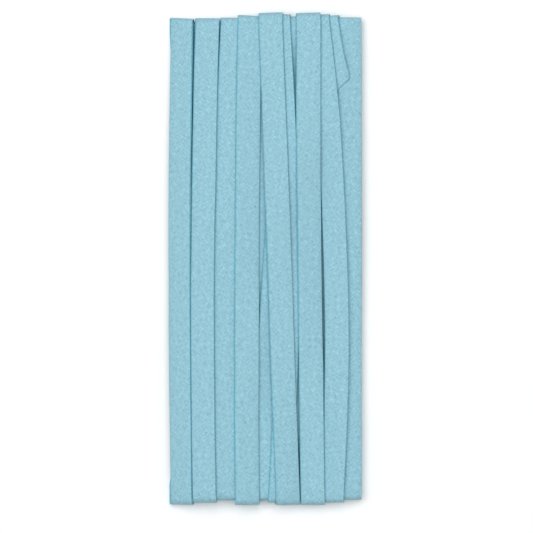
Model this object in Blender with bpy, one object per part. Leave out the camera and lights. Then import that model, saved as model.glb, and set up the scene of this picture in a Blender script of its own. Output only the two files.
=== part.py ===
"""A hank of narrow double-fold bias tape, wound flat.

One tape runs up and down between the hank's two ends. Its back runs lie on the surface, its front
runs lie on them, and it turns over an end between each run and the next. A run that lies partly
on others tilts, as a flat strip does. The tape starts with a loose tail, which comes over the top
end and stops on the front, and it stops under the hank, near the bottom end. Both of its ends are
cut aslant.

The lengths below are in millimetres and the mesh is in metres: +Z up, lying on z = 0, with the
hank's length along Y and the tape's width along X.
"""

from collections import namedtuple

import bmesh
import bpy
import numpy as np

METRE = 0.001

# The tape: four pressed layers of cloth, pinched where it turns over an end of the hank.
TAPE_WIDTH = 6.35
TAPE_THICKNESS = 1.0
PINCHED_THICKNESS = 0.34
CUT_END_THICKNESS = 0.3
CUT_SLOPE = 1.0  # along Y for each millimetre of x: the cut follows the cloth's grain
EDGE_ROUNDING = 0.25
TAPE_COLOUR = (0.32, 0.57, 0.67, 1.0)
TAPE_ROUGHNESS = 0.9

# The hank is straight between these stations, the places along Y where each run's height and
# tilt are worked out. Its turns lie beyond them.
STRAIGHT_END = 58.5
STATION_COUNT = 21
STATIONS = np.linspace(-STRAIGHT_END, STRAIGHT_END, STATION_COUNT)
STATION_SPACING = STATIONS[1] - STATIONS[0]
BOTTOM, TOP = 0, STATION_COUNT - 1
LAYER_GAP = 0.15

# How a run rests: the surface that it is laid on is a row of heights across X for each station.
SURFACE_HALF_WIDTH = 26.0
SURFACE_STEP = 0.05
SURFACE_X = np.arange(-SURFACE_HALF_WIDTH, SURFACE_HALF_WIDTH + SURFACE_STEP / 2, SURFACE_STEP)
WIDTH_SAMPLE_COUNT = 15
WIDTH_SAMPLES = np.linspace(-TAPE_WIDTH / 2, TAPE_WIDTH / 2, WIDTH_SAMPLE_COUNT)
STEEPEST_TILT = 0.3
TILT_COUNT = 61
TILT_COST = 1.0  # a tilt of 1 in 1 is taken only where it lowers the run by more than this
SMOOTHING = np.array([1.0, 2.0, 1.0]) / 4

# How the tape turns over an end.
TURN_STEPS = 7
TIGHTEST_BEND = 0.65
TOP_NOSE_STEP = PINCHED_THICKNESS + 0.06
BOTTOM_NOSE_STEP = PINCHED_THICKNESS + 0.28
BOTTOM_REACH = 63.5
SIDE_MARGIN = 0.04

# The front runs, in the order in which they are wound: x at the top and bottom stations, how far
# the run bows to +X halfway, how far its turn over the top reaches, that turn's slant, and how
# steeply the run may tilt. The left edge hangs down over the side of the runs under it.
FrontRun = namedtuple("FrontRun", "name x_top x_bottom bow reach slant steepest")
FRONT_RUNS = (
    FrontRun("right_edge", 21.35, 21.35, 0.0, 62.32, 0.0, 0.2),
    FrontRun("under_right", 9.0, 12.5, 0.0, 61.5, 0.0, STEEPEST_TILT),
    FrontRun("under_middle", -2.0, -4.7, 0.0, 61.5, 0.0, STEEPEST_TILT),
    FrontRun("under_left", -8.9, -11.3, 0.0, 61.5, 0.0, STEEPEST_TILT),
    FrontRun("under_left_edge", -17.4, -18.5, 0.0, 61.2, 0.0, STEEPEST_TILT),
    FrontRun("under_gap", 6.3, -2.0, 0.0, 62.46, 0.05, STEEPEST_TILT),
    FrontRun("left_middle", -8.82, -10.6, -1.3, 62.22, -0.036, STEEPEST_TILT),
    FrontRun("left", -15.3, -16.0, -0.7, 62.14, -0.015, STEEPEST_TILT),
    FrontRun("left_edge", -21.88, -21.9, -0.5, 62.16, -0.072, 0.65),
    FrontRun("middle_left", -4.35, -5.0, -0.4, 62.77, -0.065, STEEPEST_TILT),
    FrontRun("middle_right", 3.2, 3.6, 1.9, 63.06, 0.0, STEEPEST_TILT),
    FrontRun("right_slanted", 13.4, 17.0, 2.6, 63.02, 0.03, STEEPEST_TILT),
    FrontRun("right", 10.72, 11.9, -0.3, 63.46, 0.03, STEEPEST_TILT),
    FrontRun("middle", 1.2, 5.3, 0.0, 63.5, 0.026, STEEPEST_TILT),
)

# The loose tail lies on the first front run, and every later one is laid over it. It is cut just
# above this station. Behind the hank a leg goes down from it to a hairpin turn, where the first
# back run starts.
TAIL_STATION = TOP - 3
TAIL = FrontRun("tail", 15.9, 18.7, 0.0, 62.8, 0.06, STEEPEST_TILT)
HAIRPIN_X = 21.35
HAIRPIN_REACH = 61.0

# The tape's other end is under the hank: a short run up from the last turn over the bottom, which
# is cut just below this station.
LAST_STATION = BOTTOM + 3
LAST_RUN_SHIFT = -1.5

# A place along the tape: its centre, the direction across its width for each millimetre of x,
# the direction that it goes in, and its thickness.
Place = namedtuple("Place", "centre across along thickness")


def smooth(values):
    """Values averaged with their neighbours along a run."""
    return np.convolve(np.pad(values, 1, mode="edge"), SMOOTHING, mode="valid")


class Run:
    """One run of the tape: x, height and tilt of its centre line, at its stations."""

    def __init__(self, first, last, x_first, x_last, bow=0.0, steepest=STEEPEST_TILT):
        self.steepest = steepest
        self.stations = np.arange(first, last + 1)
        self.y = STATIONS[self.stations]
        part = (self.y - self.y[0]) / (self.y[-1] - self.y[0])
        self.x = x_first + (x_last - x_first) * part + bow * 4 * part * (1 - part)
        self.z = np.zeros_like(self.x)
        self.tilt = np.zeros_like(self.x)

    def lay(self, surface):
        """Rest the run on the surface, and raise the surface to the run's top."""
        tilts = np.linspace(-self.steepest, self.steepest, TILT_COUNT)
        offsets = WIDTH_SAMPLES / np.hypot(1.0, tilts)[:, None]
        under = np.array(
            [np.interp(x + offsets, SURFACE_X, surface[j]) for x, j in zip(self.x, self.stations)]
        )
        padded = np.pad(under, ((1, 1), (0, 0), (0, 0)), mode="edge")
        under = np.maximum(np.maximum(padded[:-2], padded[1:-1]), padded[2:])
        height = (under - tilts[:, None] * offsets).max(axis=2)
        height += TAPE_THICKNESS / 2 * np.hypot(1.0, tilts)
        best = np.argmin(height + TILT_COST * tilts**2, axis=1)
        self.z = smooth(height[np.arange(len(best)), best])
        self.tilt = smooth(tilts[best])
        rise = np.hypot(1.0, self.tilt)
        sway = np.abs(self.slopes()[0]) * STATION_SPACING / 2
        for row, j in enumerate(self.stations):
            offset = SURFACE_X - self.x[row]
            covered = np.abs(offset) <= TAPE_WIDTH / 2 / rise[row] + sway[row]
            top = self.z[row] + self.tilt[row] * offset + TAPE_THICKNESS / 2 * rise[row] + LAYER_GAP
            surface[j, covered] = np.maximum(surface[j, covered], top[covered])

    def slopes(self):
        """The change of x and of height along Y, at each station."""
        return np.gradient(self.x, self.y), np.gradient(self.z, self.y)

    def places(self, upwards):
        """The run's places, in the order in which the tape passes them."""
        x_slope, z_slope = self.slopes()
        direction = 1 if upwards else -1
        places = [
            Place(
                np.array([self.x[i], self.y[i], self.z[i]]),
                np.array([1.0, 0.0, self.tilt[i]]),
                np.array([x_slope[i], 1.0, z_slope[i]]) * direction,
                TAPE_THICKNESS,
            )
            for i in range(len(self.y))
        ]
        return places if upwards else places[::-1]


def turn(lower, upper, end, reach, slant):
    """The places on a turn from one run up to another, over the top (end 1) or bottom (-1)."""
    i = -1 if end > 0 else 0
    half_height = (upper.z[i] - lower.z[i]) / 2
    middle = (upper.z[i] + lower.z[i]) / 2
    half_twist = (upper.tilt[i] - lower.tilt[i]) / 2
    middle_tilt = (upper.tilt[i] + lower.tilt[i]) / 2
    radius = np.sqrt(TIGHTEST_BEND * half_height)
    start = reach - PINCHED_THICKNESS / 2 - radius
    upper_slope = upper.slopes()[0][i]
    places = []
    for angle in np.linspace(0, np.pi, TURN_STEPS):
        sine, cosine = np.sin(angle), np.cos(angle)
        beyond = start + radius * sine
        share = (1 - cosine) / 2
        sideways = end * upper_slope * share
        centre = (
            lower.x[i] + (beyond - STRAIGHT_END) * sideways,
            end * beyond,
            middle - half_height * cosine,
        )
        across = (1.0, end * slant * sine, middle_tilt - half_twist * cosine)
        along = (radius * cosine * sideways, end * radius * cosine, half_height * sine)
        thickness = TAPE_THICKNESS - (TAPE_THICKNESS - PINCHED_THICKNESS) * sine
        places.append(Place(np.array(centre), np.array(across), np.array(along), thickness))
    return places


def backwards(places):
    """The same places, passed the other way."""
    return [place._replace(along=-place.along) for place in places[::-1]]


def nested_reaches(turns, nose_step):
    """Each turn's reach, kept inside every later turn that it shares any width with.

    turns is a list of (x, reach, slant), from the innermost to the outermost.
    """
    reaches = [reach for _, reach, _ in turns]
    for inner in reversed(range(len(turns))):
        x, _, slant = turns[inner]
        for outer in range(inner + 1, len(turns)):
            outer_x, _, outer_slant = turns[outer]
            left = max(x, outer_x) - TAPE_WIDTH / 2 - SIDE_MARGIN
            right = min(x, outer_x) + TAPE_WIDTH / 2 + SIDE_MARGIN
            if left >= right:
                continue
            for edge in (left, right):
                limit = reaches[outer] + outer_slant * (edge - outer_x) - nose_step
                reaches[inner] = min(reaches[inner], limit - slant * (edge - x))
    return reaches


def wind():
    """Lay every run, and return the places along the whole tape."""
    fronts = [Run(BOTTOM, TOP, f.x_bottom, f.x_top, f.bow, f.steepest) for f in FRONT_RUNS]
    tail = Run(TAIL_STATION, TOP, TAIL.x_bottom, TAIL.x_top)
    hairpin_leg = Run(BOTTOM, TOP, HAIRPIN_X, TAIL.x_top)
    backs = [Run(BOTTOM, TOP, HAIRPIN_X, FRONT_RUNS[0].x_top)]
    for below, above in zip(FRONT_RUNS, FRONT_RUNS[1:]):
        backs.append(Run(BOTTOM, TOP, below.x_bottom, above.x_top))
    last_x = FRONT_RUNS[-1].x_bottom
    last = Run(BOTTOM, LAST_STATION, last_x, last_x + LAST_RUN_SHIFT)

    surface = np.zeros((STATION_COUNT, len(SURFACE_X)))
    for run in (last, *backs[:0:-1], hairpin_leg, backs[0], fronts[0], tail, *fronts[1:]):
        run.lay(surface)

    top_turns = [(run.x_top, run.reach, run.slant) for run in (FRONT_RUNS[0], TAIL, *FRONT_RUNS[1:])]
    right_edge_reach, tail_reach, *other_reaches = nested_reaches(top_turns, TOP_NOSE_STEP)
    top_reaches = (right_edge_reach, *other_reaches)
    bottom_turns = [(HAIRPIN_X, HAIRPIN_REACH, 0.0)]
    bottom_turns += [(front.x_bottom, BOTTOM_REACH, 0.0) for front in FRONT_RUNS]
    hairpin_reach, *bottom_reaches = nested_reaches(bottom_turns, BOTTOM_NOSE_STEP)

    places = tail.places(upwards=True)
    places += backwards(turn(hairpin_leg, tail, 1, tail_reach, TAIL.slant))
    places += hairpin_leg.places(upwards=False)
    places += turn(hairpin_leg, backs[0], -1, hairpin_reach, 0.0)
    following_backs = (*backs[1:], last)
    for i, front in enumerate(fronts):
        places += backs[i].places(upwards=True)
        places += turn(backs[i], front, 1, top_reaches[i], FRONT_RUNS[i].slant)
        places += front.places(upwards=False)
        places += backwards(turn(following_backs[i], front, -1, bottom_reaches[i], 0.0))
    places += last.places(upwards=True)
    return [cut_end(*places[:2]), *places[1:-1], cut_end(*places[:-3:-1])]


def cut_end(end, neighbour):
    """The place of a slanting cut, between a run's place at its end and the neighbouring one."""
    share = CUT_SLOPE * TAPE_WIDTH / 2 / STATION_SPACING
    centre = neighbour.centre + (end.centre - neighbour.centre) * share
    across = end.across + np.array([0.0, CUT_SLOPE, 0.0])
    return end._replace(centre=centre, across=across, thickness=CUT_END_THICKNESS)


def section(place):
    """The six corners of the tape's section at a place."""
    outward = np.cross(place.along, place.across)
    outward *= place.thickness / 2 / np.linalg.norm(outward)
    across = place.across / np.hypot(place.across[0], place.across[2])
    half, flat = TAPE_WIDTH / 2, TAPE_WIDTH / 2 - EDGE_ROUNDING
    corners = ((-half, 0), (-flat, -1), (flat, -1), (half, 0), (flat, 1), (-flat, 1))
    return [place.centre + across * u + outward * v for u, v in corners]


def build_tape():
    """Make the tape's closed mesh, centred on the origin and standing on z = 0."""
    rings = np.array([section(place) for place in wind()])
    low, high = rings.min(axis=(0, 1)), rings.max(axis=(0, 1))
    rings -= [(low[0] + high[0]) / 2, (low[1] + high[1]) / 2, low[2]]
    shape = bmesh.new()
    loops = [[shape.verts.new(point * METRE) for point in ring] for ring in rings]
    for loop, following in zip(loops, loops[1:]):
        for i in range(len(loop)):
            j = (i + 1) % len(loop)
            shape.faces.new((loop[i], loop[j], following[j], following[i]))
    shape.faces.new(loops[0][::-1])
    shape.faces.new(loops[-1])
    bmesh.ops.recalc_face_normals(shape, faces=shape.faces)
    mesh = bpy.data.meshes.new("tape")
    shape.to_mesh(mesh)
    shape.free()
    return mesh


def cloth_material():
    """The matt pale blue of the tape's cloth."""
    material = bpy.data.materials.new("pale_blue_cloth")
    material.use_nodes = True
    shader = material.node_tree.nodes["Principled BSDF"]
    shader.inputs["Base Color"].default_value = TAPE_COLOUR
    shader.inputs["Roughness"].default_value = TAPE_ROUGHNESS
    shader.inputs["Metallic"].default_value = 0.0
    return material


def main():
    for old in list(bpy.data.objects):
        bpy.data.objects.remove(old, do_unlink=True)
    tape = bpy.data.objects.new("tape", build_tape())
    tape.data.materials.append(cloth_material())
    bpy.context.scene.collection.objects.link(tape)


main()
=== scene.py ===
"""Looks of a flat wound hank of double-fold bias tape.

One strip of broadcloth, cut on the bias, has both raw edges folded to its middle and is folded
once more along the middle. The four-ply tape that this makes is wound up and down between the
hank's two ends. Its back runs lie on the surface, its front runs lie on them, and its loose tail
comes over the top end and stops on the front.

The tape's classes hold lengths in millimetres and the studio's in metres. The mesh is made in
metres, in the frame's axes: +Y along the hank, +X across it and +Z up.
"""

import logging
from dataclasses import dataclass, field, replace
from enum import Enum
from math import pi, radians, sqrt

import bpy
import numpy as np
from numpy.typing import NDArray
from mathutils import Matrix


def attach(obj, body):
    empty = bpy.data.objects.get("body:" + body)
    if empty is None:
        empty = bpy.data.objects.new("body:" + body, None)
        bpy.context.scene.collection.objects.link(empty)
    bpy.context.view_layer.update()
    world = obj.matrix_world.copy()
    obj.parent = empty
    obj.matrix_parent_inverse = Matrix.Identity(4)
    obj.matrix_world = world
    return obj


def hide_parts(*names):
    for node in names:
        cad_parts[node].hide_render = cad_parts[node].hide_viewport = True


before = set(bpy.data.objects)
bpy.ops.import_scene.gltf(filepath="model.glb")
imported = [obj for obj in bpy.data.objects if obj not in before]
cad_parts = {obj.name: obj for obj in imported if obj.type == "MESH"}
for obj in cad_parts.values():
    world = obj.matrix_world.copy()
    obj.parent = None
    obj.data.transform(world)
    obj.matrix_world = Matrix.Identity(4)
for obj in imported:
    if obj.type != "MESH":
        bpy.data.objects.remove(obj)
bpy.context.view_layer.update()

METRE = 0.001
STEEPEST_TILT = 0.3
ABOVE_THE_HANK = 70.0
Points = NDArray[np.float64]
log = logging.getLogger("hank")


class HankEnd(Enum):
    """An end of the hank, as the sign of its side of the middle along Y."""

    TOP = 1
    BOTTOM = -1


class Heading(Enum):
    """The way in which the tape passes along a run, as the sign of its step along Y."""

    UP = 1
    DOWN = -1


@dataclass(frozen=True)
class FrontRun:
    """A front run of the tape, and its turn over the top end.

    x_top and x_bottom are its places across the hank at its two ends, bow is how far it leans to
    +X halfway, reach is how far along Y its turn goes, slant is that turn's slope along X,
    steepest is the most that the run may tilt, painted_shade is how much painted shadow darkens
    its colour where it shows only at the bottom of a narrow slot between the runs over it, and
    painted_shade_top is the place along Y that the painted shadow starts below.
    """

    name: str
    x_top: float
    x_bottom: float
    bow: float
    reach: float
    slant: float
    steepest: float = STEEPEST_TILT
    painted_shade: float = 0.0
    painted_shade_top: float = ABOVE_THE_HANK


@dataclass(frozen=True)
class Place:
    """A place along the tape: its centre, its two directions and how hard it is pressed.

    across is the direction across the tape for each millimetre of x, along is the direction in
    which the tape goes, press is the share of its full thickness that it has there, and
    painted_shade is how much painted shadow darkens its colour there.
    """

    centre: Points
    across: Points
    along: Points
    press: float
    painted_shade: float = 0.0


@dataclass
class LaidRun:
    """A run's centre line at the stations: x, height and tilt, each as an array."""

    first: int
    last: int
    x_first: float
    x_last: float
    bow: float = 0.0
    steepest: float = STEEPEST_TILT
    x: Points = field(init=False)
    z: Points = field(init=False)
    tilt: Points = field(init=False)

    def __post_init__(self) -> None:
        """Work out x along the run, and leave its height and tilt for laying it."""
        part = np.linspace(0.0, 1.0, self.last - self.first + 1)
        lean = self.bow * 4 * part * (1 - part)
        self.x = self.x_first + (self.x_last - self.x_first) * part + lean
        self.z = np.zeros_like(self.x)
        self.tilt = np.zeros_like(self.x)

    @property
    def stations(self) -> NDArray[np.int64]:
        """The numbers of the run's stations."""
        return np.arange(self.first, self.last + 1)


def eased(values: Points, steps: int) -> Points:
    """Sample a cubic B-spline over a run's stations.

    Args:
        values: One value for each station.
        steps: How many samples there are from one station to the next.

    Returns:
        The samples, which start and end at the first and last value.
    """
    before, after = 2 * values[0] - values[1], 2 * values[-1] - values[-2]
    padded = np.concatenate(([before], values, [after]))
    position = np.linspace(0, len(values) - 1, steps * (len(values) - 1) + 1)
    index = np.minimum(position.astype(int), len(values) - 2)
    t = position - index
    weights = ((1 - t) ** 3, 3 * t**3 - 6 * t**2 + 4, -3 * t**3 + 3 * t**2 + 3 * t + 1, t**3)
    return sum(weight * padded[index + k] for k, weight in enumerate(weights)) / 6


@dataclass(frozen=True)
class HankShape:
    """The hank's winding, in the sizes that its solid has.

    The hank is straight between its end stations, the places along Y at which each run's height
    and tilt are worked out, and its turns lie beyond them. A tilt of 1 in 1 is taken only where it
    lowers a run by more than tilt_cost. The tail and the last run start and stop at a cut end,
    tail_stations and last_stations away from the end of the hank. The painted shadow that darkens
    the cloth at the bottom of the slots between runs fades out towards painted_shade_bottom, over
    painted_shade_fade.
    """

    tape_width: float = 6.35
    tape_thickness: float = 1.0
    pinched_thickness: float = 0.34
    cut_end_thickness: float = 0.3
    cut_slope: float = 1.0
    straight_end: float = 58.5
    station_count: int = 21
    layer_gap: float = 0.15
    surface_half_width: float = 26.0
    surface_step: float = 0.05
    width_samples: int = 15
    tilt_count: int = 61
    tilt_cost: float = 1.0
    tightest_bend: float = 0.65
    top_nose_clearance: float = 0.06
    bottom_nose_clearance: float = 0.28
    bottom_reach: float = 63.5
    side_margin: float = 0.04
    steps_per_station: int = 2
    turn_steps: int = 13
    cut_end_length: float = 3.5
    cut_slant_length: float = 9.0
    # Where the painted shadow at the bottom of the slots fades out along Y.
    painted_shade_bottom: float = 16.0
    painted_shade_fade: float = 12.0
    front_runs: tuple[FrontRun, ...] = (
        FrontRun("right_edge", 21.35, 21.35, 0.0, 62.32, 0.0, 0.2),
        FrontRun("under_right", 9.0, 12.5, 0.0, 61.5, 0.0),
        FrontRun("under_middle", -2.0, -4.7, 0.0, 61.5, 0.0),
        FrontRun("under_left", -8.9, -11.3, 0.0, 61.5, 0.0),
        # These two under runs get painted shadow: their colour is darkened where they show only at
        # the bottom of narrow slots.
        FrontRun("under_left_edge", -17.4, -18.5, 0.0, 61.2, 0.0, painted_shade=1.0),
        FrontRun("under_gap", 6.3, -2.0, 0.0, 62.46, 0.05, painted_shade=0.75, painted_shade_top=58.0),
        FrontRun("left_middle", -8.82, -10.6, -1.3, 62.22, -0.036),
        FrontRun("left", -15.3, -16.0, -0.7, 62.14, -0.015),
        FrontRun("left_edge", -21.88, -21.9, -0.5, 62.16, -0.072, 0.65),
        FrontRun("middle_left", -4.35, -5.0, -0.4, 62.77, -0.065),
        FrontRun("middle_right", 3.2, 3.6, 1.9, 63.06, 0.0),
        FrontRun("right_slanted", 13.4, 17.0, 2.6, 63.02, 0.03),
        FrontRun("right", 10.72, 11.9, -0.3, 63.46, 0.03),
        FrontRun("middle", 1.2, 5.3, 0.0, 63.5, 0.026),
    )
    tail: FrontRun = FrontRun("tail", 15.9, 18.7, 0.0, 62.8, 0.06)
    tail_stations: int = 3
    hairpin_x: float = 21.35
    hairpin_reach: float = 61.0
    last_stations: int = 3
    last_shift: float = -1.5

    @property
    def top(self) -> int:
        """The number of the top station; the bottom one is 0."""
        return self.station_count - 1

    @property
    def stations(self) -> Points:
        """The places along Y of the stations."""
        return np.linspace(-self.straight_end, self.straight_end, self.station_count)

    @property
    def surface_x(self) -> Points:
        """The places across X at which the surface under the next run is kept."""
        end = self.surface_half_width
        return np.arange(-end, end + self.surface_step / 2, self.surface_step)

    def smoothed(self, values: Points) -> Points:
        """Average values with their neighbours along a run."""
        padded = np.pad(values, 1, mode="edge")
        return (padded[:-2] + 2 * padded[1:-1] + padded[2:]) / 4

    def lay(self, run: LaidRun, surface: Points) -> None:
        """Rest a run on the surface, tilting it where that lets it lie lower.

        Args:
            run: The run, whose height and tilt this sets.
            surface: The height reached so far at each station and place across X. It is raised
                to the run's top.
        """
        half = self.tape_width / 2
        tilts = np.linspace(-run.steepest, run.steepest, self.tilt_count)
        offsets = np.linspace(-half, half, self.width_samples) / np.hypot(1.0, tilts)[:, None]
        under = np.array(
            [
                np.interp(x + offsets, self.surface_x, surface[station])
                for x, station in zip(run.x, run.stations)
            ]
        )
        padded = np.pad(under, ((1, 1), (0, 0), (0, 0)), mode="edge")
        under = np.maximum(np.maximum(padded[:-2], padded[1:-1]), padded[2:])
        height = (under - tilts[:, None] * offsets).max(axis=2)
        height += self.tape_thickness / 2 * np.hypot(1.0, tilts)
        best = np.argmin(height + self.tilt_cost * tilts**2, axis=1)
        run.z = self.smoothed(height[np.arange(len(best)), best])
        run.tilt = self.smoothed(tilts[best])
        rise = np.hypot(1.0, run.tilt)
        sway = np.abs(np.gradient(run.x)) / 2
        for row, station in enumerate(run.stations):
            offset = self.surface_x - run.x[row]
            covered = np.abs(offset) <= half / rise[row] + sway[row]
            top = run.z[row] + run.tilt[row] * offset
            top += self.tape_thickness / 2 * rise[row] + self.layer_gap
            surface[station, covered] = np.maximum(surface[station, covered], top[covered])

    def run_places(self, run: LaidRun, heading: Heading) -> list[Place]:
        """List a laid run's places in the order in which the tape passes them.

        Args:
            run: The run, once it is laid.
            heading: The way in which the tape passes along it.

        Returns:
            The places, from the one that the tape comes to first.
        """
        x, y, z, tilt = (
            eased(values, self.steps_per_station)
            for values in (run.x, self.stations[run.stations], run.z, run.tilt)
        )
        along = np.stack([np.gradient(x, y), np.ones_like(y), np.gradient(z, y)], axis=1)
        places = [
            Place(
                np.array([x[i], y[i], z[i]]),
                np.array([1.0, 0.0, tilt[i]]),
                along[i] * heading.value,
                1.0,
            )
            for i in range(len(y))
        ]
        return places[:: heading.value]

    def turn_places(
        self, lower: LaidRun, upper: LaidRun, end: HankEnd, reach: float, slant: float
    ) -> list[Place]:
        """List the places on the turn from a run up to the run above it.

        Args:
            lower: The run that the turn starts from.
            upper: The run that it goes up to.
            end: The end of the hank that it goes over.
            reach: How far along Y its outside goes.
            slant: The slope of its nose along X.

        Returns:
            The places from the lower run to the upper one.
        """
        sign = end.value
        i = -1 if end is HankEnd.TOP else 0
        half_height = (upper.z[i] - lower.z[i]) / 2
        middle = (upper.z[i] + lower.z[i]) / 2
        half_twist = (upper.tilt[i] - lower.tilt[i]) / 2
        middle_tilt = (upper.tilt[i] + lower.tilt[i]) / 2
        radius = sqrt(self.tightest_bend * half_height)
        start = reach - self.pinched_thickness / 2 - radius
        upper_slope = np.gradient(upper.x, self.stations[upper.stations])[i]
        pinch = 1 - self.pinched_thickness / self.tape_thickness
        places = []
        for angle in np.linspace(0, pi, self.turn_steps):
            sine, cosine = np.sin(angle), np.cos(angle)
            beyond = start + radius * sine
            sideways = sign * upper_slope * (1 - cosine) / 2
            centre = (
                lower.x[i] + (beyond - self.straight_end) * sideways,
                sign * beyond,
                middle - half_height * cosine,
            )
            across = (1.0, sign * slant * sine, middle_tilt - half_twist * cosine)
            along = (radius * cosine * sideways, sign * radius * cosine, half_height * sine)
            places.append(
                Place(np.array(centre), np.array(across), np.array(along), 1 - pinch * sine)
            )
        return places

    def with_painted_shade(self, places: list[Place], row: FrontRun) -> list[Place]:
        """Paint shadow into the colour of a front run and its turn where only a narrow slot shows
        them.

        Args:
            places: The places along the run and its turn.
            row: The front run that they belong to.

        Returns:
            The same places, each with how much painted shadow darkens it.
        """
        painted_shades = [
            row.painted_shade
            * np.clip((row.painted_shade_top - place.centre[1]) / self.painted_shade_fade, 0.0, 1.0)
            * np.clip((place.centre[1] - self.painted_shade_bottom) / self.painted_shade_fade, 0.0, 1.0)
            for place in places
        ]
        return [replace(place, painted_shade=painted_shade) for place, painted_shade in zip(places, painted_shades)]

    def nested_reaches(
        self, turns: list[tuple[float, float, float]], clearance: float
    ) -> list[float]:
        """Keep each turn inside every later turn that it shares any width with.

        Args:
            turns: The place across X, reach and slant of each turn, the innermost first.
            clearance: The gap between one turn's nose and the next.

        Returns:
            The turns' reaches, cut back where the cloth needs it.
        """
        step = self.pinched_thickness + clearance
        half = self.tape_width / 2 + self.side_margin
        reaches = [reach for _, reach, _ in turns]
        for inner in reversed(range(len(turns))):
            x, _, slant = turns[inner]
            for outer in range(inner + 1, len(turns)):
                outer_x, _, outer_slant = turns[outer]
                left, right = max(x, outer_x) - half, min(x, outer_x) + half
                if left >= right:
                    continue
                for edge in (left, right):
                    limit = reaches[outer] + outer_slant * (edge - outer_x) - step
                    reaches[inner] = min(reaches[inner], limit - slant * (edge - x))
        return reaches

    def wind(self) -> list[Place]:
        """Lay every run from the surface upwards, and list the places along the whole tape.

        Returns:
            The places, from the cut end of the loose tail to the cut end under the hank.
        """
        rows = self.front_runs
        fronts = [
            LaidRun(0, self.top, row.x_bottom, row.x_top, row.bow, row.steepest) for row in rows
        ]
        tail = LaidRun(self.top - self.tail_stations, self.top, self.tail.x_bottom, self.tail.x_top)
        leg = LaidRun(0, self.top, self.hairpin_x, self.tail.x_top)
        backs = [LaidRun(0, self.top, self.hairpin_x, rows[0].x_top)]
        for below, above in zip(rows, rows[1:]):
            backs.append(LaidRun(0, self.top, below.x_bottom, above.x_top))
        last_x = rows[-1].x_bottom
        last = LaidRun(0, self.last_stations, last_x, last_x + self.last_shift)

        surface = np.zeros((self.station_count, len(self.surface_x)))
        for run in (last, *backs[:0:-1], leg, backs[0], fronts[0], tail, *fronts[1:]):
            self.lay(run, surface)

        tail_reach, top_reaches = self.top_reaches()
        hairpin_reach, bottom_reaches = self.bottom_reaches()
        places = self.run_places(tail, Heading.UP)
        places += backwards(self.turn_places(leg, tail, HankEnd.TOP, tail_reach, self.tail.slant))
        places += self.run_places(leg, Heading.DOWN)
        places += self.turn_places(leg, backs[0], HankEnd.BOTTOM, hairpin_reach, 0.0)
        following_backs = (*backs[1:], last)
        for row, front, back, following, top_reach, bottom_reach in zip(
            rows, fronts, backs, following_backs, top_reaches, bottom_reaches
        ):
            places += self.run_places(back, Heading.UP)
            over_top = self.turn_places(back, front, HankEnd.TOP, top_reach, row.slant)
            places += self.with_painted_shade(over_top + self.run_places(front, Heading.DOWN), row)
            over_bottom = self.turn_places(following, front, HankEnd.BOTTOM, bottom_reach, 0.0)
            places += backwards(over_bottom)
        places += self.run_places(last, Heading.UP)
        return self.with_cut_ends(places)

    def top_reaches(self) -> tuple[float, list[float]]:
        """How far the tail's turn over the top end reaches, and the turn of each front run.

        Returns:
            The reach of the tail's turn, and a list of the front runs' reaches.
        """
        first_row, *other_rows = self.front_runs
        turns = [(row.x_top, row.reach, row.slant) for row in (first_row, self.tail, *other_rows)]
        first, tail, *others = self.nested_reaches(turns, self.top_nose_clearance)
        return tail, [first, *others]

    def bottom_reaches(self) -> tuple[float, list[float]]:
        """How far the hairpin turn over the bottom end reaches, and the turn of each front run.

        Returns:
            The reach of the hairpin turn, and a list of the front runs' reaches.
        """
        turns = [(self.hairpin_x, self.hairpin_reach, 0.0)]
        turns += [(row.x_bottom, self.bottom_reach, 0.0) for row in self.front_runs]
        hairpin, *others = self.nested_reaches(turns, self.bottom_nose_clearance)
        return hairpin, others

    def with_cut_ends(self, places: list[Place]) -> list[Place]:
        """Cut both ends of the tape aslant, and press it thinner, and so lower, towards them.

        Args:
            places: The places along the whole tape, with both ends uncut.

        Returns:
            The places that are left, with the cuts' slant and the thinner press near the ends.
        """
        places = self.cut_short(self.cut_short(places)[::-1])[::-1]
        distance = distances(places)
        from_cut = np.minimum(distance, distance[-1] - distance)
        thinner = 1 - self.cut_end_thickness / self.tape_thickness
        press = 1 - thinner * np.clip(1 - from_cut / self.cut_end_length, 0, 1)
        slope = self.cut_slope * np.clip(1 - from_cut / self.cut_slant_length, 0, 1)
        sink = (1 - press) * self.tape_thickness / 2
        return [
            replace(
                place,
                centre=place.centre - np.array([0.0, 0.0, down]),
                press=min(place.press, float(share)),
                across=place.across + np.array([0.0, skew, 0.0]),
            )
            for place, down, share, skew in zip(places, sink, press, slope)
        ]

    def cut_short(self, places: list[Place]) -> list[Place]:
        """Cut a run short, so that the far corner of its slanting end is one station back.

        Args:
            places: The places along the tape, from the end that is cut.

        Returns:
            The places that are left, of which the first is the middle of the cut.
        """
        spacing = self.stations[1] - self.stations[0]
        removed = spacing - self.cut_slope * self.tape_width / 2
        distance = distances(places)
        following = int(np.searchsorted(distance, removed))
        share = removed / distance[following]
        centre = places[0].centre + (places[following].centre - places[0].centre) * share
        return [replace(places[0], centre=centre), *places[following + 1 :]]


def backwards(places: list[Place]) -> list[Place]:
    """The same places, passed the other way."""
    return [replace(place, along=-place.along) for place in places[::-1]]


def distances(places: list[Place]) -> Points:
    """How far along the tape each place is from its first cut end.

    Args:
        places: The places along the tape.

    Returns:
        One distance in millimetres for each place.
    """
    centres = np.array([place.centre for place in places])
    steps = np.linalg.norm(np.diff(centres, axis=0), axis=1)
    return np.concatenate(([0.0], np.cumsum(steps)))


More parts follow.
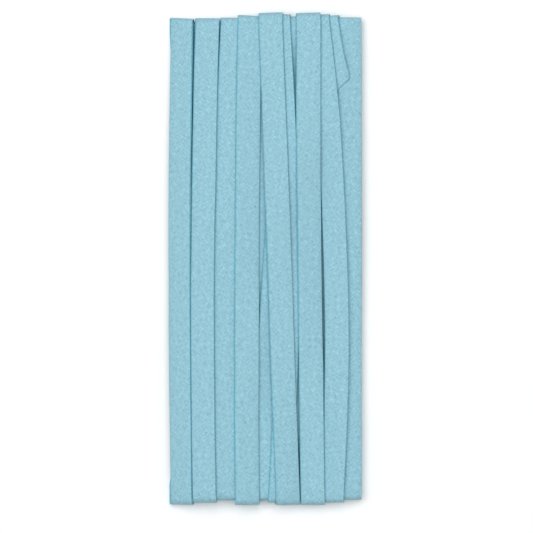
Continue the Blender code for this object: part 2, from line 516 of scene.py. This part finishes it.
@dataclass(frozen=True)
class FoldedSection:
    """The section of the tape: one strip of cloth, folded into four plies.

    s runs across the tape, from its one main fold to its two edge folds, and t runs through it,
    towards the outside of the hank. The strip starts at its raw edge inside the outer half.
    """

    width: float = 6.35
    cloth_thickness: float = 0.2
    ply_pitch: float = 0.25
    inner_half_set_back: float = 0.05
    raw_edge_set_back: float = 0.35
    crown: float = 0.04
    flat_points: int = 5
    main_fold_points: int = 7
    edge_fold_points: int = 5

    def centre_line(self) -> Points:
        """Trace the middle of the strip's thickness, from one raw edge to the other.

        Returns:
            An array of points by their s and t.
        """
        pitch = self.ply_pitch
        main_fold = -self.width / 2 + (3 * pitch + self.cloth_thickness) / 2
        raw_edge = main_fold + self.raw_edge_set_back
        edge_fold = self.width / 2 - (pitch + self.cloth_thickness) / 2
        inner_edge_fold = edge_fold - self.inner_half_set_back
        pieces = [
            self.flat(raw_edge, edge_fold, pitch / 2),
            self.bend(edge_fold, pitch, pitch / 2, -pi / 2, pi / 2, self.edge_fold_points),
            self.flat(edge_fold, main_fold, 1.5 * pitch),
            self.bend(main_fold, 0.0, 1.5 * pitch, pi / 2, 1.5 * pi, self.main_fold_points),
            self.flat(main_fold, inner_edge_fold, -1.5 * pitch),
            self.bend(inner_edge_fold, -pitch, pitch / 2, -pi / 2, pi / 2, self.edge_fold_points),
            self.flat(inner_edge_fold, raw_edge, -pitch / 2),
        ]
        return np.concatenate(pieces)

    def flat(self, start: float, end: float, height: float) -> Points:
        """Trace one ply between its two folds, without its last point where a fold starts."""
        s = np.linspace(start, end, self.flat_points)
        return np.stack([s, np.full_like(s, height)], axis=1)

    def bend(
        self, s: float, t: float, radius: float, start: float, end: float, count: int
    ) -> Points:
        """Trace the inside of a fold, without the points where its plies start and end."""
        angles = np.linspace(start, end, count)[1:-1]
        return np.stack([s + radius * np.cos(angles), t + radius * np.sin(angles)], axis=1)

    def strip_places(self) -> Points:
        """How far across the unfolded strip each point of the centre line is."""
        steps = np.linalg.norm(np.diff(self.centre_line(), axis=0), axis=1)
        return np.concatenate(([0.0], np.cumsum(steps)))

    def faces_of_cloth(self) -> tuple[Points, Points]:
        """The two faces of the cloth along the centre line, half its thickness to either side.

        Returns:
            Two arrays of points by their s and t, alike in length to the centre line.
        """
        line = self.centre_line()
        before = np.diff(line, axis=0, prepend=2 * line[:1] - line[1:2])
        after = np.diff(line, axis=0, append=2 * line[-1:] - line[-2:-1])
        before /= np.linalg.norm(before, axis=1)[:, None]
        after /= np.linalg.norm(after, axis=1)[:, None]
        tangent = before + after
        tangent /= np.linalg.norm(tangent, axis=1)[:, None]
        normal = np.stack([tangent[:, 1], -tangent[:, 0]], axis=1)
        half = self.cloth_thickness / 2
        return line + normal * half, line - normal * half

    def crowned(self, points: Points) -> Points:
        """Round the tape's two broad sides a little, as pressed cloth is.

        Args:
            points: Points of the section by their s and t.

        Returns:
            The points, with t moved outwards near the middle.
        """
        share = np.clip(1 - (2 * points[:, 0] / self.width) ** 2, 0, 1)
        out = points.copy()
        out[:, 1] *= 1 + self.crown * share
        return out

    def fold_share(self) -> Points:
        """1 where the strip is folded and 0 where it lies flat, for each point of the line.

        Returns:
            One share for each point of the centre line.
        """
        flat, edge, main = self.flat_points, self.edge_fold_points - 2, self.main_fold_points - 2
        counts = (flat, edge, flat, main, flat, edge, flat)
        return np.concatenate([np.full(n, float(k % 2)) for k, n in enumerate(counts)])


@dataclass(frozen=True)
class HandOfCloth:
    """How uneven the pressed tape is along its length, as a few slow waves.

    Each wave has its length along the tape and how far it moves the edge folds sideways and the
    plies through the tape, in millimetres. The phases set where along the tape the waves start.
    """

    lengths: tuple[float, ...] = (79.0, 47.0, 19.0)
    sideways: tuple[float, ...] = (0.035, 0.02, 0.01)
    through: tuple[float, ...] = (0.012, 0.01, 0.008)
    sideways_phase: float = 0.7
    through_phase: float = 2.1

    def waves(self, distance: Points, amplitudes: tuple[float, ...], phase: float) -> Points:
        """Add up the waves at each distance along the tape.

        Args:
            distance: Distances along the tape.
            amplitudes: How far each wave moves the cloth.
            phase: Where the first wave starts, in radians; the later ones start at its multiples.

        Returns:
            One movement in millimetres for each distance.
        """
        return sum(
            amplitude * np.sin(2 * pi * distance / length + phase * (k + 1))
            for k, (length, amplitude) in enumerate(zip(self.lengths, amplitudes))
        )


@dataclass(frozen=True)
class BroadclothFinish:
    """Pale blue broadcloth of polyester and cotton, woven plain and pressed.

    The yarn pitch and the weave's depth are in millimetres. The tone is what the colour is scaled
    by: base_tone, and a share each of the weave's height, the slubs, the crossings and the
    mottling. slub_stretch is how fast the slubs change along a yarn, as a share of how fast they
    change from yarn to yarn.
    """

    name: str = "pale_blue_broadcloth"
    colour: tuple[float, float, float] = (0.304, 0.560, 0.660)
    # Painted shadow: the folded edges, the walls of the crevices between runs, are darkened and
    # tinted a deeper teal.
    fold_painted_shade_tint: tuple[float, float, float] = (0.70, 0.95, 0.98)
    # Painted shadow: cloth at the bottom of narrow slots between runs is darkened to a deep teal.
    painted_shade_tint: tuple[float, float, float] = (0.14, 0.34, 0.40)
    yarn_pitch: float = 0.28
    yarn_swing: float = 0.4
    weave_depth: float = 0.035
    base_tone: float = 0.93
    weave_tone: float = 0.10
    slub_tone: float = 0.45
    crossing_tone: float = 0.03
    mottling_tone: float = 0.42
    mottling_scale: float = 0.9
    mottling_detail: float = 2.0
    slub_stretch: float = 0.2
    slub_scale: float = 1.0
    slub_detail: float = 1.0
    slub_height: float = 0.5
    slub_roughness: float = 0.2
    fold_roughness: float = -0.06
    roughness: float = 0.88
    sheen: float = 0.1
    sheen_roughness: float = 0.5
    specular_level: float = 0.2

    def material(self) -> bpy.types.Material:
        """Make the cloth's material, which reads the strip's own map in metres.

        Returns:
            The material, which also reads the fold and painted_shade attributes: both mark painted
            shadow, and the folds are also a little less rough.
        """
        material = bpy.data.materials.new(self.name)
        material.use_nodes = True
        board = NodeBoard(material)
        shader = board.shader
        shader.inputs["Metallic"].default_value = 0.0
        shader.inputs["Sheen Weight"].default_value = self.sheen
        shader.inputs["Sheen Roughness"].default_value = self.sheen_roughness
        shader.inputs["Specular IOR Level"].default_value = self.specular_level

        warp, weft = self.yarn_coordinates(board)
        weave, crossing = self.plain_weave(board, warp, weft)
        slubs = self.slubs(board, warp, weft)
        fold = board.attribute("fold")
        mottling = board.centred(
            board.noise(board.combined(warp, weft), self.mottling_scale, self.mottling_detail)
        )

        tone = board.math("MULTIPLY_ADD", weave, self.weave_tone, self.base_tone)
        tone = board.math("MULTIPLY_ADD", slubs, self.slub_tone, tone)
        tone = board.math("MULTIPLY_ADD", crossing, self.crossing_tone, tone)
        tone = board.math("MULTIPLY_ADD", mottling, self.mottling_tone, tone)
        colour = board.scaled_colour(self.colour, tone)
        # Painted shadow: the folds, the walls of the crevices between runs, are tinted darker and a
        # deeper teal.
        colour = board.tinted(colour, self.fold_painted_shade_tint, fold)
        # Painted shadow: the cloth at the bottom of narrow slots is tinted a dark, deep teal.
        colour = board.tinted(colour, self.painted_shade_tint, board.attribute("painted_shade"))
        board.link(colour, shader.inputs["Base Color"])

        rough = board.math("MULTIPLY_ADD", slubs, self.slub_roughness, self.roughness)
        rough = board.math("MULTIPLY_ADD", fold, self.fold_roughness, rough)
        board.link(rough, shader.inputs["Roughness"])

        height = board.math("MULTIPLY_ADD", slubs, self.slub_height, weave)
        board.link(board.bump(height, self.weave_depth * METRE), shader.inputs["Normal"])
        return material

    def yarn_coordinates(
        self, board: "NodeBoard"
    ) -> tuple[bpy.types.NodeSocket, bpy.types.NodeSocket]:
        """Count the yarns along the two diagonals of the strip, which is cut on the bias.

        Args:
            board: The board that the nodes are added to.

        Returns:
            The number of yarns along each diagonal.
        """
        u, v = board.map_coordinates("strip")
        step = self.yarn_pitch * METRE * sqrt(2)
        total = board.math("ADD", u, v)
        difference = board.math("SUBTRACT", u, v)
        return board.math("DIVIDE", total, step), board.math("DIVIDE", difference, step)

    def plain_weave(
        self, board: "NodeBoard", warp: bpy.types.NodeSocket, weft: bpy.types.NodeSocket
    ) -> tuple[bpy.types.NodeSocket, bpy.types.NodeSocket]:
        """Work out the height of a plain weave, and which yarn is on top (1 warp, -1 weft).

        Args:
            board: The board that the nodes are added to.
            warp: The number of yarns along the first diagonal.
            weft: The number of yarns along the second diagonal.

        Returns:
            The weave's height, from 0 to 1, and the yarn that is on top.
        """
        mean_height = 1 - self.yarn_swing
        warp_wave = board.math("SINE", board.math("MULTIPLY", warp, pi))
        weft_wave = board.math("SINE", board.math("MULTIPLY", weft, pi))
        crossing = board.math("MULTIPLY", warp_wave, weft_wave)
        over = board.math("MULTIPLY_ADD", crossing, self.yarn_swing, mean_height)
        under = board.math("MULTIPLY_ADD", crossing, -self.yarn_swing, mean_height)
        warp_height = board.math("MULTIPLY", board.math("ABSOLUTE", warp_wave), over)
        weft_height = board.math("MULTIPLY", board.math("ABSOLUTE", weft_wave), under)
        return board.math("MAXIMUM", warp_height, weft_height), crossing

    def slubs(
        self, board: "NodeBoard", warp: bpy.types.NodeSocket, weft: bpy.types.NodeSocket
    ) -> bpy.types.NodeSocket:
        """Add up the thick and thin stretches of the yarns in both directions, about 0.

        Args:
            board: The board that the nodes are added to.
            warp: The number of yarns along the first diagonal.
            weft: The number of yarns along the second diagonal.

        Returns:
            How much thicker or thinner the cloth is.
        """
        slow_warp, slow_weft = (
            board.math("MULTIPLY", yarns, self.slub_stretch) for yarns in (warp, weft)
        )
        vectors = (board.combined(warp, slow_weft), board.combined(slow_warp, weft))
        noises = [board.noise(vector, self.slub_scale, self.slub_detail) for vector in vectors]
        return board.math("ADD", *[board.centred(noise) for noise in noises])


class NodeBoard:
    """Adds and wires the nodes of one material.

    The numbers are those of a colour Mix node's sockets, whose names are shared with others.
    """

    MIX_SHARE, MIX_COLOUR, MIX_TINT, MIX_RESULT = 0, 6, 7, 2

    def __init__(self, material: bpy.types.Material) -> None:
        """Keep the material's node tree and its shader."""
        self.tree = material.node_tree
        self.shader = self.tree.nodes["Principled BSDF"]

    def link(self, source: bpy.types.NodeSocket, target: bpy.types.NodeSocket) -> None:
        """Join two sockets."""
        self.tree.links.new(source, target)

    def feed(self, socket: bpy.types.NodeSocket, value: object) -> None:
        """Give a socket a number, or join it to another socket.

        Args:
            socket: The node's input.
            value: The number, or the socket that it is joined to.
        """
        if isinstance(value, bpy.types.NodeSocket):
            self.link(value, socket)
        else:
            socket.default_value = value

    def math(self, operation: str, *values: object) -> bpy.types.NodeSocket:
        """Add a Math node.

        Args:
            operation: The node's operation.
            *values: Its inputs, each a number or a socket.

        Returns:
            The node's output.
        """
        node = self.tree.nodes.new("ShaderNodeMath")
        node.operation = operation
        for socket, value in zip(node.inputs, values):
            self.feed(socket, value)
        return node.outputs[0]

    def map_coordinates(self, name: str) -> tuple[bpy.types.NodeSocket, bpy.types.NodeSocket]:
        """Read one of the piece's own maps as its two coordinates.

        Args:
            name: The map's name.

        Returns:
            The map's two coordinates, in metres.
        """
        source = self.tree.nodes.new("ShaderNodeUVMap")
        source.uv_map = name
        parts = self.tree.nodes.new("ShaderNodeSeparateXYZ")
        self.link(source.outputs["UV"], parts.inputs[0])
        return parts.outputs["X"], parts.outputs["Y"]

    def attribute(self, name: str) -> bpy.types.NodeSocket:
        """Read one of the piece's own attributes as a number.

        Args:
            name: The attribute's name.

        Returns:
            Its value.
        """
        node = self.tree.nodes.new("ShaderNodeAttribute")
        node.attribute_name = name
        return node.outputs["Fac"]

    def combined(
        self, x: bpy.types.NodeSocket, y: bpy.types.NodeSocket
    ) -> bpy.types.NodeSocket:
        """Put two coordinates together as a vector.

        Args:
            x: The first coordinate.
            y: The second coordinate.

        Returns:
            The vector.
        """
        node = self.tree.nodes.new("ShaderNodeCombineXYZ")
        self.link(x, node.inputs["X"])
        self.link(y, node.inputs["Y"])
        return node.outputs[0]

    def noise(
        self, vector: bpy.types.NodeSocket, scale: float, detail: float
    ) -> bpy.types.NodeSocket:
        """Add flat noise from 0 to 1, read at a vector.

        Args:
            vector: Where the noise is read.
            scale: How fine it is.
            detail: How many finer layers it has.

        Returns:
            The noise.
        """
        node = self.tree.nodes.new("ShaderNodeTexNoise")
        node.noise_dimensions = "2D"
        node.inputs["Scale"].default_value = scale
        node.inputs["Detail"].default_value = detail
        self.link(vector, node.inputs["Vector"])
        return node.outputs[0]

    def centred(self, value: bpy.types.NodeSocket) -> bpy.types.NodeSocket:
        """Move noise from 0 to 1 to lie about 0."""
        return self.math("SUBTRACT", value, 0.5)

    def scaled_colour(
        self, colour: tuple[float, float, float], tone: bpy.types.NodeSocket
    ) -> bpy.types.NodeSocket:
        """Make a colour lighter or darker by a tone that varies over the surface.

        Args:
            colour: The even colour.
            tone: What it is scaled by.

        Returns:
            The uneven colour.
        """
        node = self.tree.nodes.new("ShaderNodeVectorMath")
        node.operation = "SCALE"
        node.inputs[0].default_value = colour
        self.link(tone, node.inputs["Scale"])
        return node.outputs[0]

    def tinted(
        self,
        colour: bpy.types.NodeSocket,
        tint: tuple[float, float, float],
        share: bpy.types.NodeSocket,
    ) -> bpy.types.NodeSocket:
        """Multiply a colour by a tint where a share is 1, and leave it as it is where it is 0.

        Args:
            colour: The colour.
            tint: What each of its channels is multiplied by.
            share: How much of the tint it takes.

        Returns:
            The tinted colour.
        """
        node = self.tree.nodes.new("ShaderNodeMix")
        node.data_type = "RGBA"
        node.blend_type = "MULTIPLY"
        node.inputs[self.MIX_TINT].default_value = (*tint, 1.0)
        self.link(share, node.inputs[self.MIX_SHARE])
        self.link(colour, node.inputs[self.MIX_COLOUR])
        return node.outputs[self.MIX_RESULT]

    def bump(self, height: bpy.types.NodeSocket, depth: float) -> bpy.types.NodeSocket:
        """Turn a height from 0 to 1 into a bump of a depth in metres.

        Args:
            height: The height.
            depth: How deep the bump is from 0 to 1.

        Returns:
            The bumped normal.
        """
        node = self.tree.nodes.new("ShaderNodeBump")
        node.inputs["Strength"].default_value = 1.0
        node.inputs["Distance"].default_value = depth
        self.link(height, node.inputs["Height"])
        return node.outputs[0]


@dataclass(frozen=True)
class BiasTape:
    """The whole length of tape, wound into the hank."""

    name: str = "bias_tape"
    shape: HankShape = HankShape()
    section: FoldedSection = FoldedSection()
    hand: HandOfCloth = HandOfCloth()
    finish: BroadclothFinish = BroadclothFinish()
    cut_roughness: float = 0.12
    cut_seed: int = 4
    smooth_angle: float = 60.0

    def rings(self, places: list[Place]) -> Points:
        """Work out the points of the cloth's two faces at each place.

        Args:
            places: The places along the tape.

        Returns:
            An array of places by faces by points by coordinates, in millimetres.
        """
        distance = distances(places)
        hand = self.hand
        sideways = hand.waves(distance, hand.sideways, hand.sideways_phase)
        through = hand.waves(distance, hand.through, hand.through_phase)
        faces = [self.section.crowned(face) for face in self.section.faces_of_cloth()]
        rings = []
        for place, shift, swell in zip(places, sideways, through):
            outward = np.cross(place.along, place.across)
            outward /= np.linalg.norm(outward)
            across = place.across / np.hypot(place.across[0], place.across[2])
            ring = [
                place.centre
                + np.outer(face[:, 0] + shift, across)
                + np.outer(face[:, 1] * place.press * (1 + swell), outward)
                for face in faces
            ]
            rings.append(ring)
        rings = np.array(rings)
        self.roughen_cut(rings[0], rings[1])
        self.roughen_cut(rings[-1], rings[-2])
        return rings

    def roughen_cut(self, end_ring: Points, next_ring: Points) -> None:
        """Move the points of a cut end a little in or out, both faces of the cloth alike.

        Args:
            end_ring: The points of the cut end, which this moves.
            next_ring: The points of the place beside it.
        """
        random = np.random.default_rng(self.cut_seed)
        outwards = end_ring.mean(axis=(0, 1)) - next_ring.mean(axis=(0, 1))
        outwards /= np.linalg.norm(outwards)
        steps = random.uniform(-self.cut_roughness, self.cut_roughness, end_ring.shape[1])
        end_ring += steps[None, :, None] * outwards

    def faces(self, place_count: int, point_count: int) -> list[tuple[int, int, int, int]]:
        """List the cloth's faces, with the two raw edges and the two cut ends closed.

        Args:
            place_count: How many places there are along the tape.
            point_count: How many points each face of the cloth has across it.

        Returns:
            The corners of each face, numbered place by place, side by side.
        """
        ring = 2 * point_count
        around = [*range(point_count), *range(ring - 1, point_count - 1, -1)]
        faces = []
        for start in range(0, ring * (place_count - 1), ring):
            for a, b in zip(around, around[1:] + around[:1]):
                faces.append((start + a, start + b, start + ring + b, start + ring + a))
        end = ring * (place_count - 1)
        for i in range(point_count - 1):
            j, k, m = i + 1, point_count + i + 1, point_count + i
            faces.append((i, m, k, j))
            faces.append((end + i, end + j, end + k, end + m))
        return faces

    def build(self, places: list[Place]) -> bpy.types.Object:
        """Make the tape's object, with its map and the fold and painted_shade attributes for its
        painted shadow.

        Args:
            places: The places along the tape.

        Returns:
            The object, centred on the origin and standing on z = 0.
        """
        rings = self.rings(places)
        low, high = rings.min(axis=(0, 1, 2)), rings.max(axis=(0, 1, 2))
        rings -= [(low[0] + high[0]) / 2, (low[1] + high[1]) / 2, low[2]]
        place_count, _, point_count, _ = rings.shape
        mesh = bpy.data.meshes.new(self.name)
        faces = self.faces(place_count, point_count)
        mesh.from_pydata((rings.reshape(-1, 3) * METRE).tolist(), [], faces)
        self.add_map(mesh, places)
        self.add_attribute(mesh, "fold", np.tile(self.section.fold_share(), (place_count, 2)))
        # Painted shadow: how much the material darkens each place at the bottom of a slot.
        painted_shades = np.array([place.painted_shade for place in places])
        self.add_attribute(mesh, "painted_shade", np.repeat(painted_shades, 2 * point_count))
        mesh.shade_smooth()
        mesh.set_sharp_from_angle(angle=radians(self.smooth_angle))
        mesh.materials.append(self.finish.material())
        mesh.validate()
        tape = bpy.data.objects.new(self.name, mesh)
        bpy.context.scene.collection.objects.link(tape)
        return tape

    def add_map(self, mesh: bpy.types.Mesh, places: list[Place]) -> None:
        """Map each point to its place on the unfolded strip: across it and along it, in metres.

        Args:
            mesh: The tape's mesh, which this adds the map to.
            places: The places along the tape.
        """
        across = np.tile(self.section.strip_places(), (len(places), 2))
        sideways = np.tile(self.section.centre_line()[:, 0], 2)
        skew = [p.across @ p.along / np.linalg.norm(p.along) for p in places]
        along = distances(places)[:, None] + np.outer(skew, sideways)
        flat = np.stack([across, along], axis=2).reshape(-1, 2)
        corners = np.zeros(len(mesh.loops), np.int32)
        mesh.loops.foreach_get("vertex_index", corners)
        layer = mesh.uv_layers.new(name="strip")
        layer.uv.foreach_set("vector", (flat[corners] * METRE).astype(np.float32).ravel())

    def add_attribute(self, mesh: bpy.types.Mesh, name: str, shares: Points) -> None:
        """Give the mesh's points a share from 0 to 1 each, which the cloth's material reads."""
        layer = mesh.attributes.new(name, "FLOAT", "POINT")
        layer.data.foreach_set("value", shares.astype(np.float32).ravel())

    def declare(
        self, tape: bpy.types.Object
    ) -> None:
        """Say what the tape rides on, and hide the solid that it stands for.

        Args:
            tape: The tape's object.
        """
        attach(tape, "root")
        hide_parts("tape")
        width = self.section.strip_places()[-1] * METRE


@dataclass(frozen=True)
class Softbox:
    """A soft square light: its place and the side of its square in metres, and its watts."""

    name: str
    place: tuple[float, float, float]
    side: float
    power: float


@dataclass(frozen=True)
class Studio:
    """The pale floor, the soft light and the camera straight above the hank."""

    floor_side: float = 4.0
    floor_colour: tuple[float, float, float, float] = (0.97, 0.97, 0.97, 1.0)
    sky_strength: float = 0.22
    softboxes: tuple[Softbox, ...] = (Softbox("overhead_softbox", (-0.1, 0.15, 1.3), 1.0, 17.2),)
    camera_height: float = 1.0
    frame_width: float = 0.137
    subject_height: float = 0.008
    aim: tuple[float, float] = (0.00035, -0.00202)
    sensor_width: float = 36.0

    def build_floor(self) -> bpy.types.Object:
        """Make the plain floor under the hank.

        Returns:
            The floor's object.
        """
        bpy.ops.object.select_all(action="DESELECT")
        bpy.ops.mesh.primitive_plane_add(size=self.floor_side)
        floor = bpy.context.object
        floor.name = "floor"
        material = bpy.data.materials.new("pale_floor")
        material.use_nodes = True
        shader = material.node_tree.nodes["Principled BSDF"]
        shader.inputs["Base Color"].default_value = self.floor_colour
        shader.inputs["Roughness"].default_value = 1.0
        shader.inputs["Specular IOR Level"].default_value = 0.0
        floor.data.materials.append(material)
        return floor

    def light(self) -> None:
        """Add the soft white sky and the softboxes, which face the hank."""
        world = bpy.data.worlds.new("studio_sky")
        world.use_nodes = True
        sky = world.node_tree.nodes["Background"]
        sky.inputs["Color"].default_value = (1.0, 1.0, 1.0, 1.0)
        sky.inputs["Strength"].default_value = self.sky_strength
        bpy.context.scene.world = world
        for box in self.softboxes:
            data = bpy.data.lights.new(box.name, "AREA")
            data.size = box.side
            data.energy = box.power
            lamp = bpy.data.objects.new(box.name, data)
            lamp.location = box.place
            lamp.rotation_euler = lamp.location.to_track_quat("Z", "Y").to_euler()
            bpy.context.scene.collection.objects.link(lamp)

    def place_camera(self) -> None:
        """Look straight down at the hank, with its top end at the top of the picture."""
        data = bpy.data.cameras.new("above")
        data.sensor_width = self.sensor_width
        distance = self.camera_height - self.subject_height
        data.lens = self.sensor_width * distance / self.frame_width
        camera = bpy.data.objects.new("above", data)
        camera.location = (*self.aim, self.camera_height)
        bpy.context.scene.collection.objects.link(camera)
        bpy.context.scene.camera = camera
        bpy.context.scene.view_settings.view_transform = "Standard"


def write_sizes() -> None:
    """Bring the view layer up to date."""
    bpy.context.view_layer.update()


def main() -> None:
    """Build the studio and the hank, and report each piece."""
    logging.basicConfig(level=logging.INFO, format="%(message)s")
    studio = Studio()
    floor = studio.build_floor()
    studio.light()
    studio.place_camera()
    log.info("%s: built", floor.name)
    maker = BiasTape()
    places = maker.shape.wind()
    tape = maker.build(places)
    maker.declare(tape)
    log.info("%s: %d faces", tape.name, len(tape.data.polygons))
    write_sizes()


if __name__ == "__main__":
    main()
